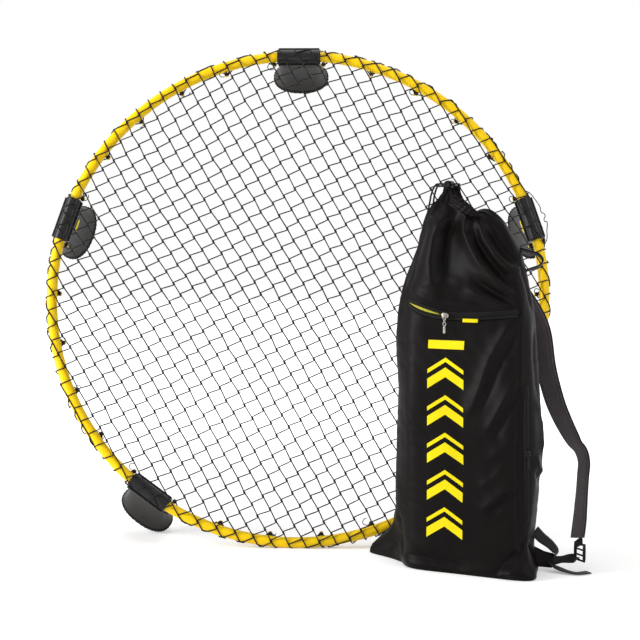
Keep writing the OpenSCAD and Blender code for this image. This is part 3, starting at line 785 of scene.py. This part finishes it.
def fabric(theta, z, out=0.0):
    """Point on the bag's fabric: theta runs round it with the front at -90 degrees, out lifts it off."""
    left, right, depth, square, pull_left, pull_right = bag_row(z)
    half, middle = (right - left) / 2, (right + left) / 2
    ex, ey = (signed_power(v, 2 / square) for v in (np.cos(theta), np.sin(theta)))
    nx = signed_power(np.cos(theta), 2 - 2 / square) / half
    ny = signed_power(np.sin(theta), 2 - 2 / square) / depth
    length = np.maximum(np.hypot(nx, ny), 1e-9)
    nx, ny = nx / length, ny / length
    ear_left = pull_left * np.maximum(0, (ey - ex) / 2) ** 3
    ear_right = pull_right * np.maximum(0, (ex - ey) / 2) ** 3
    x = ex * half + middle - ear_left + ear_right
    y = ey * depth + 0.07 * ear_left - 0.5 * ear_right + np.maximum(0, z - 400) * 0.04
    # the front turns away before it meets the left side, the left side bulges and the front hem flares
    body = 1 - smooth(z, 440, 560)
    y = y + 0.3 * (-x - 95 + np.sqrt((x + 95) ** 2 + 225)) * body * smooth(-ey, 0, 0.9)
    x = x - 4.5 * body * smooth(-ex, 0.5, 1) * smooth(z, 20, 60)
    y = y - 8 * (1 - smooth(z, 0, 34)) * smooth(-ey, 0.2, 1)
    d = out + folds(x, y, z, nx, ny) * smooth(z, 1, 9)
    # the loose lobe beside the gathered mouth, and the dip before it
    shoulder = smooth(z, 556, 590) * (1 - smooth(z, 604, 612))
    dz = shoulder * (3.5 * np.exp(-((x - 30) / 15) ** 2) - 7 * np.exp(-((x - 4) / 9) ** 2))
    return bag(x + nx * d, y + ny * d, z + dz)


def even_turns(count):
    """Angles spaced evenly along the outline of the middle of the bag."""
    half_width, half_depth, square = 118, 46, 3.4
    t = np.linspace(0, 2 * math.pi, 4001)
    run = run_along(np.column_stack([half_width * signed_power(np.cos(t), 2 / square),
                                     half_depth * signed_power(np.sin(t), 2 / square)]))
    return np.interp(np.arange(count) * run[-1] / count, run, t)


def theta_at(x, z, back=False):
    """Angle at which the smooth outline at height z passes x, on the front or the back."""
    left, right, _, square, _, _ = bag_row(z)
    share = np.clip((x - (left + right) / 2) / ((right - left) / 2), -0.9995, 0.9995)
    angle = np.arccos(signed_power(share, square / 2))
    return angle if back else -angle


def on_front(x, z, out):
    x, z = np.asarray(x, float), np.asarray(z, float)
    return fabric(theta_at(x, z), z, out)


def border_steps(size, step, rim, least):
    """Shares from 0 to 1 across a patch, with an extra step in the rim on either side."""
    edge = rim / size
    inside = np.linspace(edge, 1 - edge, max(least, int(size / step)))
    return np.concatenate([[0, edge * 0.5], inside, [1 - edge * 0.5, 1]])


def patch(name, slot, nodes, xs, low, high, out, step, rim, foot=0.0):
    """Patch sewn on the front, between two x and two functions of x.

    It rises to out above the fabric over its rim, or over the longer foot at its lower and left border.
    """
    wide = xs[1] - xs[0]
    samples = np.linspace(*xs, 9)
    tall = float(np.max(high(samples) - low(samples)))
    u, v = np.meshgrid(border_steps(wide, step, rim, 6), border_steps(tall, step, rim, 5))
    x = xs[0] + u * wide
    z = low(x) + v * (high(x) - low(x))
    rise = np.minimum(np.minimum(u, 1 - u) / (rim / wide), np.minimum(v, 1 - v) / (rim / tall))
    rise = np.clip(rise, 0, 1) ** 0.5
    if foot:
        rise = rise * smooth(z - low(x), 0, foot) * smooth(x - xs[0], 0, foot)
    loft(on_front(x, z, -0.3 + (out + 0.3) * rise), name, slot, "bag", *nodes, **OPEN)


def stitches(b, line, out, pitch=4.6, length=3.0, thread=0.32):
    """A row of thread dashes along a line of the front."""
    line = spline(line, 12)
    run = run_along(line)
    for start in np.arange(0, run[-1] - length, pitch):
        at = np.linspace(start, start + length, 4)
        x, z = np.interp(at, run, line[:, 0]), np.interp(at, run, line[:, 1])
        b.tube(on_front(x, z, out + thread * np.array([-0.8, 0.6, 0.6, -0.8])), thread, 5)


# ---- bag: shell and mouth
turns = even_turns(260)
levels = np.concatenate([np.linspace(2, 30, 14), np.linspace(33, 560, 176), np.linspace(562, BAG_TOP, 44)])
outside = fabric(*np.meshgrid(turns, levels))
inside = [fabric(turns, np.full(len(turns), z), -FABRIC) for z in (BAG_TOP, 632.0, 622.0, 612.0)]
underside = []
for share, height in ((0.1, 0.0), (0.5, 0.0), (0.9, 0.0), (0.985, 0.5)):
    row = BAG_AT + (outside[0] - BAG_AT) * share
    row[:, 2] = height
    underside.append(row)
loft(underside + list(outside) + inside, "bag_body_fabric", "bag_nylon", "bag", "bag_shell", "bag_base",
     "bag_collar", caps=(True, False))

# Crinkled hem of the mouth, gathered by the drawstring and lying down to the right
HEM_LINE = [(-34, -12, 622), (-26, -17, 616), (-14, -21, 607), (-2, -23, 599), (10, -22, 592),
            (20, -17, 589)]
spine = spline(HEM_LINE, 12)
ahead = unit(np.gradient(spine, axis=0))
side = unit(np.cross(ahead, np.array([0.2, 1.0, 0.25])))
lift = np.cross(side, ahead)
rows = []
w = around(40)
for k, centre in enumerate(spine):
    t = k / (len(spine) - 1)
    size = 7.5 * math.sin(math.pi * (0.12 + 0.8 * t)) + 1.5
    crinkle = 0.16 * np.sin(5 * w + 7 * t) + 0.11 * np.sin(0.9 * k + 2 * w) + 0.08 * np.sin(11 * w + 1.7 * k)
    r = (size * (1 + crinkle))[:, None]
    row = centre + side[k] * r * np.cos(w)[:, None] - lift[k] * r * 0.62 * np.sin(w)[:, None]
    rows.append(bag(*row.T))
loft(rows, "mouth_gathered_hem", "bag_nylon", "bag")


# ---- bag: pocket and zips
ZIP_LINE = spline([(-100, 448), (-86, 439), (-66, 431.5), (-45, 427.8), (-30, 427), (-5, 426.5), (36, 428.5),
                   (88, 433.5)], 10)
SIDE_ZIP = spline([(106, 92), (106.5, 130), (106, 170), (105, 205), (104, 265), (104, 318)], 10)
TOOTH_PITCH, TOOTH_R, TOOTH_HALF = 1.9, 0.62, 1.3
SIDE_TAPE_HALF = 4.5 / 49    # half width over the bag's half depth, in radians


def level(z):
    return lambda x: z + 0 * x


def along_zip(above, gaping=False):
    """Function of x that follows the front zip, or its upper edge where the zip gapes left of the slider."""
    return lambda x: zip_z(x) + above + (gape(x) if gaping else 0)


def zip_z(x):
    return np.interp(x, ZIP_LINE[:, 0], ZIP_LINE[:, 1])


def gape(x):
    """How far the zip's two edges stand apart."""
    t = np.clip((np.asarray(x, float) + 97) / 63, 0, 1)
    return 5.4 * np.sin(math.pi * t ** 0.8) ** 0.9


patch("pocket_front", "bag_nylon", ["pocket_panel"], (-110, 92), level(30), along_zip(-6.5),
      1.7, 3.0, 2.2, foot=26.0)
# lining in the zip's gape, in the painted-shade yellow
patch("pocket_lining_crescent", "lining_yellow", ["pocket_lining"], (-96, -34), along_zip(-0.6),
      along_zip(0.6, True), 0.9, 2.0, 1.0)
patch("zip_lower_tape", "zip_tape", ["front_zip_tape"], (-98, 88), along_zip(-7.5), along_zip(-0.3),
      2.1, 2.0, 0.8)
patch("zip_upper_tape", "zip_tape", [], (-98, 88), along_zip(0.3, True), along_zip(6.5, True), 2.1, 2.0, 0.8)
teeth = Build()
for x in np.arange(-94, 87, TOOTH_PITCH):
    for shift, z in ((0, zip_z(x) - 0.6), (TOOTH_PITCH / 2, zip_z(x) + gape(x) + 0.6)):
        teeth.tube(on_front([x + shift, x + shift], [z - TOOTH_HALF, z + TOOTH_HALF], 2.35), TOOTH_R)
teeth.make("zip_teeth", "buckle_black", "bag")
patch("pocket_tag_label", "tag_yellow", ["pocket_tag"], (-2, 24), level(416.2), level(422.9), 3.6, 1.5, 0.7)


def side_theta(z):
    return theta_at(np.interp(z, SIDE_ZIP[:, 1], SIDE_ZIP[:, 0]), z)


# the side zip's tape: columns across it, and how far each stands off
heights = np.linspace(92, 318, 100)
columns = zip(np.linspace(-1, 1, 7), (-0.3, 1.5, 2.0, 1.6, 2.0, 1.5, -0.3))
loft([fabric(side_theta(heights) + SIDE_TAPE_HALF * share, heights, out) for share, out in columns],
     "side_zip_fabric", "zip_tape", "bag", "side_zip_tape", **OPEN)
side_teeth = Build()
for z in np.arange(94, 316, TOOTH_PITCH):
    side_teeth.tube(fabric(side_theta(z) + np.array([-0.02, 0.02]), np.array([z, z + 0.5]), 2.0), 0.6)
side_teeth.make("side_zip_teeth", "buckle_black", "bag")

seams = Build()
stitches(seams, [(88, 42), (88, 200), (88, 415)], 1.75)
stitches(seams, [(-94, 435), (-66, 421.5), (-30, 417.5), (36, 419), (84, 424)], 1.2)
stitches(seams, [(-92, 449), (-66, 441.5), (-40, 438), (0, 436), (40, 438), (84, 443)], 1.2)
seams.make("pocket_stitching", "cord_black", "bag")

# Piped seams up the two edges of the back
WELT_R, WELT_IN = 1.1, 9
welts = Build()
heights = np.linspace(14, 560, 150)
left_edge, right_edge = bag_row(heights)[:2]
for x in (left_edge + WELT_IN, right_edge - WELT_IN):
    welts.tube(fabric(theta_at(x, heights, back=True), heights, 0.5), WELT_R, 7)
welts.make("seam_welts", "bag_nylon", "bag")

# Printed marks up the pocket: pairs of arrowheads, a broad one and a narrow one, below a plain bar
PRINT_LEFT, PRINT_RIGHT, PRINT_OUT = -60.0, 2.0, 2.05
PRINT_MID = (PRINT_LEFT + PRINT_RIGHT) / 2
marks = Build()


def printed(low, high, step=2.5):
    """Flat printed shape between a lower and an upper edge with as many points."""
    low, high = np.asarray(low, float), np.asarray(high, float)
    rows = max(2, int(np.max(np.linalg.norm(high - low, axis=1)) / step))
    share = np.linspace(0, 1, rows + 1)[:, None]
    fine = []
    for a0, a1, b0, b1 in zip(low[:-1], low[1:], high[:-1], high[1:]):
        count = max(2, int(max(np.linalg.norm(a1 - a0), np.linalg.norm(b1 - b0)) / step))
        for t in np.arange(count) / count:
            fine.append((a0 + (a1 - a0) * t) * (1 - share) + (b0 + (b1 - b0) * t) * share)
    fine.append(low[-1] * (1 - share) + high[-1] * share)
    fine = np.array(fine)
    marks.grid(on_front(fine[..., 0], fine[..., 1], PRINT_OUT), closed=False)


def chevron_edge(z, rise=20):
    return [(PRINT_LEFT, z), (PRINT_MID, z + rise), (PRINT_RIGHT, z)]


for z in 58 + 62 * np.arange(5):
    printed(chevron_edge(z), chevron_edge(z + 16))
    printed(chevron_edge(z + 25), chevron_edge(z + 32))
printed(chevron_edge(372, 0), chevron_edge(386, 0))
marks.make("pocket_print", "tag_yellow", "bag")


# ---- bag: straps and webbing
RIGHT_PATH = [(-2, 37.5, 572), (11, 48, 546), (29, 62, 510), (50, 76, 468), (76, 87, 428), (92, 92, 392),
              (101, 96, 335), (115, 98, 282), (130, 99, 246), (149, 99, 212), (163, 98, 194), (169, 95, 176),
              (169, 90, 155), (169, 82, 125), (169, 70, 84), (168, 60, 54)]
RIGHT_SIDE = [(1, 0, .3), (1, 0, .3), (1, -.05, .3), (1, -.1, .3), (1, -.25, .2), (.9, -.35, .1),
              (.88, -.42, 0), (.88, -.45, 0), (.86, -.5, 0), (.8, -.6, 0), (.7, -.7, 0), (.62, -.78, 0),
              (.6, -.8, 0), (.6, -.8, 0), (.64, -.76, 0), (.7, -.7, 0)]
LEFT_PATH = [(-47, 36, 572), (-52, 45, 540), (-58, 58, 490), (-62, 74, 430), (-64, 84, 370), (-65, 88, 310),
             (-66, 90, 250), (-68, 88, 190), (-72, 82, 130), (-76, 76, 85), (-78, 72, 52)]
LEFT_SIDE = [(1, .1, .05)] * len(LEFT_PATH)
STRAP_WIDE, STRAP_END, PADDING = 44, 38, 3.4
BINDING_R, THREAD_R, STITCH, STITCH_PITCH = 1.35, 0.3, 2.8, 4.4
ACROSS_BAG = (1, 0, 0)
BROAD = (.75, -.66, 0)


def bag_line(points, per=8):
    return bag(*spline(points, per).T)


def bag_directions(sides, per=8):
    s = spline(sides, per)
    return s[:, :1] * BAG_X + s[:, 1:2] * BAG_Y + s[:, 2:] * UP


def spread(values, count):
    """Runs evenly through the values in count steps."""
    return np.interp(np.linspace(0, 1, count), np.linspace(0, 1, len(values)), values)


def strap(name, path, sides, node):
    """Padded strap with a sewn channel near each edge; its binding and stitches are a second piece."""
    p, s = bag_line(path), bag_directions(sides)
    ahead = unit(np.gradient(p, axis=0))
    s = unit(s - ahead * np.sum(s * ahead, axis=1, keepdims=True))
    up = np.cross(ahead, s)
    w = spread([STRAP_WIDE] * (len(path) - 1) + [STRAP_END], len(p))
    run = run_along(p)
    columns = np.linspace(-1, 1, 17)
    profile = []
    for face, across in ((1, columns), (-1, columns[-2:0:-1])):
        for c in across:
            channel = 1 - 0.42 * math.exp(-((abs(c) - 0.74) / 0.06) ** 2)
            profile.append((c, face, PADDING * max(0.0, 1 - abs(c) ** 5) ** 0.6 * channel))
    rows = []
    for k, along in enumerate(run):
        puff = 1 + 0.17 * math.sin(along / 13) + 0.1 * math.sin(along / 5.1 + 1)
        rows.append([p[k] + s[k] * w[k] / 2 * c * 0.99 + up[k] * face * (height * puff + 0.12)
                     for c, face, height in profile])
    pad = loft(rows, name + "_pad", "strap_grey", "bag", node)
    b = Build()
    for edge in (-1, 1):
        b.tube(p + s * (edge * (w / 2 - 0.5))[:, None], BINDING_R, 8)
    for edge, face in ((-1, -1), (-1, 1), (1, -1), (1, 1)):
        line = p + s * (edge * w * 0.37)[:, None] + up * face * 2.1
        for start in np.arange(3, run[-1] - 4, STITCH_PITCH):
            at = np.linspace(start, start + STITCH, 3)
            b.tube(np.column_stack([np.interp(at, run, axis) for axis in line.T]), THREAD_R, 5)
    b.make(name + "_binding", "webbing_black", "bag")


def bands(name, node, rows, thick, per=8, edge=0.35, finish=None):
    """Piece of flat bands: each row gives the points, the direction(s) of the width, and the width(s)."""
    b = Build()
    for points, sides, width in rows:
        sides = np.broadcast_to(np.asarray(sides, float), (len(points), 3))
        widths = spread(np.atleast_1d(width), (len(points) - 1) * per + 1)
        b.band(bag_line(points, per), bag_directions(sides, per), widths, thick, edge)
    b.make(name, "webbing_black", "bag", node, finish=finish)


strap("strap_right_padded", RIGHT_PATH, RIGHT_SIDE, "strap_right")
strap("strap_left_padded", LEFT_PATH, LEFT_SIDE, "strap_left")
bands("strap_yoke_sewn", "strap_yoke", [
    ([(-70, 24, z), (-50, 27, z + 1), (-24, 28.5, z + 1), (2, 27, z + 1), (20, 24, z)], (0, 0.15, 1), 10.5)
    for z in (551, 560, 569)], 30, per=6, edge=0.5)
bands("webbing_right_bands", "webbing_right", [
    ([(169.5, 58, 52), (172, 54, 46), (173.5, 52.5, 42)], BROAD, 22),
    ([(174, 51, 22), (160, 47, 21), (146, 42, 19), (131, 35, 17)],
     [BROAD, (0, 0, 1), (0, 0, 1), (.2, .3, 1)], [20, 16, 12, 16]),
    ([(128, 33, 14), (140, 30, 8), (158, 27, 3.6), (176, 27, 1.8), (191, 44, 1.5)],
     [(-.3, .9, 0), (-.2, .9, .1), (0, 1, 0), (-.5, .9, 0), (-.8, .6, 0)], 20),
    ([(104, 27, 67), (113, 34, 55), (127, 40, 43), (136, 43, 31), (133, 40, 21)],
     [(.5, .85, .5), (.5, .85, .5), (.4, .9, .3), (.2, .95, .2), (0, 1, 0)], 20)], 2)
bands("side_loop_band", "side_loop", [
    ([(66, 18, 538), (90, 24, 531), (105, 26, 526), (112, 27, 517), (107, 26, 508), (92, 24, 502),
      (76, 18, 497)], (.35, -.9, .35), 15)], 2.8)
for side_name, tab_points, tab_side in (("right", [(98, 22, 25), (116, 30, 20), (133, 36, 17)], (0, .2, 1)),
                                        ("left", [(-86, 36, 20), (-86, 50, 16), (-86, 58, 14)], ACROSS_BAG)):
    bands("anchor_%s_tab" % side_name, "anchor_" + side_name, [(tab_points, tab_side, [36, 27, 24])], 3.2,
          edge=0.5, finish="bag_nylon")
bands("webbing_left_bands", "webbing_left", [
    ([(-78, 71, 56), (-79, 69, 42), (-80, 68, 32)], ACROSS_BAG, 22),
    ([(-81, 66, 26), (-83, 64, 19), (-85, 61, 15), (-86, 58, 14)], ACROSS_BAG, 22),
    ([(-80, 72, 24), (-77, 82, 12), (-73, 96, 3), (-70, 112, 1.6), (-68, 126, 1.4)], ACROSS_BAG, 22)], 2)


# ---- bag: buckles and cord lock
def round_bar(b, start, end, radius):
    taper = np.array([0.7, 0.93, 1, 1, 1, 0.93, 0.7])
    b.tube(between(start, end, np.linspace(0, 1, len(taper))), taper * radius, 14)


def ladder_buckle(name, at, degrees, node):
    """Two side rails with rounded tops, joined by cross bars."""
    rail_x, rail_z, rail_radius = 12.4, 14.8, 2.7
    place = bag_placer(at, degrees)
    b = Build()
    for side in (-1, 1):
        round_bar(b, place(side * rail_x, 0, -rail_z), place(side * rail_x, 0, rail_z), rail_radius)
    for z, radius in ((-13.6, 1.7), (-4.6, 1.6), (4.6, 1.6), (13.6, 2.0)):
        round_bar(b, place(-12.6, 0, z), place(12.6, 0, z), radius)
    for side in (-1, 1):
        b.blob(place(side * 12.2, 0, 14.2), (RING_X * 2.8, RING_Z * 2.6, RING_Y * 1.9), 12, 8)
    b.make(name, "buckle_black", "bag", node)


ladder_buckle("ladder_right_frame", (174, 52, 32), -41, "ladder_right")
ladder_buckle("ladder_left_frame", (-80, 66, 30), 0, "ladder_left")

# Cord lock: a waisted barrel and a ribbed button, turned about one axis; (distance along it, radius)
LOCK = bag(-36.0, -8.0, 640.0)
BARREL = [(5, 5.2), (5, 6.8), (4.2, 7.3), (1.2, 7.3), (-0.4, 6.9), (-2, 7.2), (-8, 7.4), (-12, 7.4),
          (-13.2, 7.0), (-14, 7.3), (-14.6, 7.3), (-15, 6.8), (-15, 5.6), (-4, 5.4)]
BUTTON = [(-9.6, 4.9), (-15.4, 4.9), (-18.2, 4.9), (-19.4, 4.4), (-19.8, 3.4), (-19.4, 2.6), (-19.3, 0.3)]


def turned(name, body, node, profile, count, ribs=0, rib=0.0):
    side = unit(np.cross(BAG_Y, UP))
    up = np.cross(BAG_Y, side)
    w = around(count)
    rows = []
    for along, radius in profile:
        r = (radius + rib * np.cos(ribs * w) * (radius > 3))[:, None]
        rows.append(LOCK + BAG_Y * along + np.cos(w)[:, None] * r * side + np.sin(w)[:, None] * r * up)
    loft(rows, name, "buckle_black", body, node)


turned("cord_lock_barrel", "cord_lock", "cord_lock_body", BARREL, 40)
turned("cord_lock_button_ribbed", "lock_button", "cord_lock_button", BUTTON, 48, 16, 0.12)


# ---- bag: zip sliders and pullers
PIN = -5.4
NARROWING = 0.2


def slider(name, place, wide, tall, slot, body, node):
    """Shield that narrows along its longer side, with a bridge and the pin that the puller hangs on."""
    b = Build()
    rows = []
    for y, share in ((0.0, 0.9), (-0.5, 0.99), (-1.6, 1.0), (-2.6, 0.97), (-3.0, 0.86)):
        x = signed_power(np.cos(around(36)), 2 / 3.2) * wide / 2 * share
        z = signed_power(np.sin(around(36)), 2 / 3.2) * tall / 2 * share
        if wide > tall:
            z = z * (1 - NARROWING * (x / (wide / 2)))
        else:
            x = x * (1 + NARROWING * (z / (tall / 2)))
        rows.append(place(x, y, z))
    b.grid(rows, caps=(True, True))
    bridge = [(-2.7, -2.6), (-2.7, -5.6), (-1.6, -6.4), (1.6, -6.4), (2.7, -5.6), (2.7, -2.6)]
    b.tube([place(x, y, -1) for x, y in bridge], 0.75, 10)
    b.tube([place(-3.2, PIN, -1), place(3.2, PIN, -1)], 0.85, 12)
    b.make(name, slot, body, node)


def puller(name, place, rings, bar, square, slot, body, node):
    """Rings (height, half width, half height, thickness, turn edge on), then a bar below them.

    The bar's rows give height, half width and half depth.
    """
    b = Build()
    for centre, half_wide, half_tall, thick, edge_on in rings:
        loop = []
        for w in np.linspace(0, 2 * math.pi, 37):
            x = half_wide * math.cos(w)
            loop.append(place(x * (1 - edge_on), PIN + x * edge_on, centre + half_tall * math.sin(w)))
        b.tube(loop, thick, 10)
    x, y = (signed_power(v, square) for v in (np.cos(around(24)), np.sin(around(24))))
    b.grid([place(half_wide * x, PIN + half_deep * y, [z] * len(x)) for z, half_wide, half_deep in bar],
           caps=(True, True))
    b.make(name, slot, body, node)


front = bag_placer((-30, -47.5, 427), 0)
slider("front_slider_shield", front, 12, 9, "zip_metal", "front_zip_slider", "front_slider")
puller("front_puller_chain", front,
       [(-3.4, 2.3, 3.4, 0.72, 0), (-8.8, 1.9, 3.0, 0.7, 0.85), (-13.6, 2.5, 3.0, 0.72, 0)],
       [(-15.8, 1.0, 0.7), (-16.4, 1.5, 0.95), (-18, 1.8, 1.0), (-26, 2.2, 1.0), (-28.4, 2.0, 1.0),
        (-29.2, 1.4, 0.7)], 0.6, "zip_metal", "front_zip_puller", "front_puller")
side = bag_placer((107.7, -37.2, 205), 38.4)
slider("side_slider_shield", side, 9, 12, "buckle_black", "side_zip_slider", "side_slider")
puller("side_puller_tab", side, [(-3.2, 1.9, 3.0, 0.6, 0)],
       [(-5.2, 1.0, 0.8), (-6.5, 1.5, 1.1), (-12, 1.9, 1.2), (-20, 2.3, 1.3), (-23.6, 2.2, 1.2),
        (-24.8, 1.4, 0.8)], 0.7, "buckle_black", "side_zip_puller", "side_puller")


# ---- stage and light, in metres
FLOOR_HALF = 7.0
WHITE = (1, 1, 1, 1)
floor_mesh = bpy.data.meshes.new("floor")
corners = [(FLOOR_HALF * x, FLOOR_HALF * y, 0) for x, y in ((-1, -1), (1, -1), (1, 1), (-1, 1))]
floor_mesh.from_pydata(corners, [], [(0, 1, 2, 3)])
floor = add("floor", floor_mesh)
tree, shader = material("floor", (0.93, 0.93, 0.93), 0.9, spec=0.0)
floor_mesh.materials.append(FINISH["floor"])


def seen_as_background(tree):
    """1 for rays that come from the camera, a reflection or glass, 0 for light that falls on things."""
    path = tree.nodes.new("ShaderNodeLightPath")
    other = combine(tree, "ADD", (path, "Is Glossy Ray"), (path, "Is Transmission Ray"))
    total = combine(tree, "ADD", (path, "Is Camera Ray"), (other, "Value"))
    total.use_clamp = True
    return total, "Value"


# the floor is white to the camera where nothing shades it, and it keeps the object's shadow
where = tree.nodes.new("ShaderNodeNewGeometry")
away = tree.nodes.new("ShaderNodeVectorMath")
away.operation = "LENGTH"
link(tree, where, "Position", away, 0)
reach = tree.nodes.new("ShaderNodeMapRange")
for key, value in (("From Min", 0.6), ("From Max", 1.5), ("To Min", 0.3), ("To Max", 1.0)):
    reach.inputs[key].default_value = value
link(tree, away, "Value", reach, "Value")
glow = combine(tree, "MULTIPLY", seen_as_background(tree), (reach, "Result"))
shader.inputs["Emission Color"].default_value = WHITE
link(tree, glow, "Value", shader, "Emission Strength")


def area(name, loc, target, size, power, size_y):
    data = bpy.data.lights.new(name, "AREA")
    data.energy = power
    data.shape = "RECTANGLE"
    data.size = size
    data.size_y = size_y
    obj = add(name, data)
    obj.location = loc
    obj.rotation_euler = (Vector(target) - Vector(loc)).to_track_quat("-Z", "Y").to_euler()


area("key", (-2.7, -0.95, 1.2), (0.1, -0.1, 0.45), 0.8, 84, 2.2)
area("fill", (2.3, -1.6, 1.25), (0.2, 0.0, 0.4), 0.6, 20, 2.0)
area("top", (0.2, 0.3, 3.0), (0.1, 0.0, 0.3), 2.2, 30, 2.2)

# an even world lights the object, and the camera sees it as white
world = bpy.data.worlds.new("world")
bpy.context.scene.world = world
world.use_nodes = True
tree = world.node_tree
plain, white = tree.nodes["Background"], tree.nodes.new("ShaderNodeBackground")
for node, strength in ((plain, 0.42), (white, 1.0)):
    node.inputs["Color"].default_value = WHITE
    node.inputs["Strength"].default_value = strength
choose = tree.nodes.new("ShaderNodeMixShader")
link(tree, *seen_as_background(tree), choose, "Fac")
link(tree, plain, "Background", choose, 1)
link(tree, white, "Background", choose, 2)
link(tree, choose, "Shader", tree.nodes["World Output"], "Surface")
bpy.context.scene.view_settings.view_transform = "Standard"
